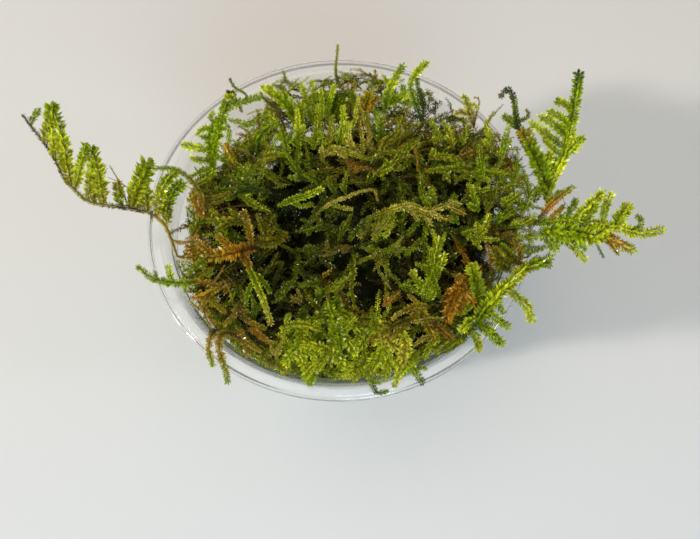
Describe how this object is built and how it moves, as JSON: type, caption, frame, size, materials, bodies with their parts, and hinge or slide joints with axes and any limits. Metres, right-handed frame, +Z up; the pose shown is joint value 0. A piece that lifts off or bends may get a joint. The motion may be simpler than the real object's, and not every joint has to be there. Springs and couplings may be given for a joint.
{
  "type": "moss clump",
  "caption": "Clump of feathery green moss heaped in a small clear plastic portion cup, with fronds arching out over the rim on both sides.",
  "frame": {"origin": "centre of the cup's flat underside", "axes": "+X to the right along the clump's longest extent, +Y away from the viewer, +Z up"},
  "size_m": [0.1181, 0.075, 0.0623],
  "materials": {
    "clear_plastic": "clear, thin, glossy",
    "moss_bright": "damp bright yellow-green leaves",
    "moss_green": "damp green leaves",
    "moss_deep": "damp dark green leaves",
    "moss_yellow": "pale yellow-olive leaves",
    "moss_brown": "dead brown leaves and stems",
    "moss_rust": "rust-coloured dead leaves"
  },
  "bodies": {
    "root": {"cup": "clear_plastic", "moss_tangle": "moss_deep", "frond_left_long": "moss_bright", "frond_left_small": "moss_green", "frond_left_arch": "moss_brown", "frond_front_left_outer": "moss_brown", "frond_front_left_inner": "moss_brown", "frond_front_drip_left": "moss_green", "frond_front_drip_middle": "moss_green", "frond_front_drip_right": "moss_bright", "frond_right_low": "moss_bright", "frond_right_long": "moss_bright", "frond_right_twig": "moss_brown", "frond_right_feather": "moss_bright", "frond_right_feather_left": "moss_bright", "frond_back_hook": "moss_green", "frond_back_brown": "moss_brown", "frond_back_small": "moss_yellow", "frond_back_twin": "moss_green", "frond_back_twin_strand": "moss_deep", "frond_back_fork": "moss_bright", "frond_back_orange": "moss_brown", "frond_back_twigs": "moss_brown", "frond_back_needle": "moss_deep", "frond_back_fan": "moss_bright", "frond_back_left_band": "moss_bright", "frond_back_left_loop": "moss_green", "frond_back_left_comb": "moss_green", "shoot_orange_left": "moss_brown", "shoot_green_left": "moss_bright", "shoot_light_blade": "moss_yellow", "shoot_pale_strand": "moss_yellow", "shoot_yellow_curve": "moss_yellow", "shoot_front_middle": "moss_bright", "shoot_front_fan_left": "moss_bright", "shoot_front_fan_right": "moss_bright", "shoot_front_right": "moss_green", "shoot_rust_right": "moss_rust", "shoot_right_upper": "moss_green", "shoot_right_middle": "moss_green", "shoot_back_middle": "moss_green", "shoot_back_right": "moss_green", "shoot_back_far_right": "moss_green", "shoot_back_left": "moss_green", "shoot_left_upper": "moss_deep", "shoot_left_middle": "moss_deep", "shoot_left_lower": "moss_brown"}
  },
  "joints": []
}
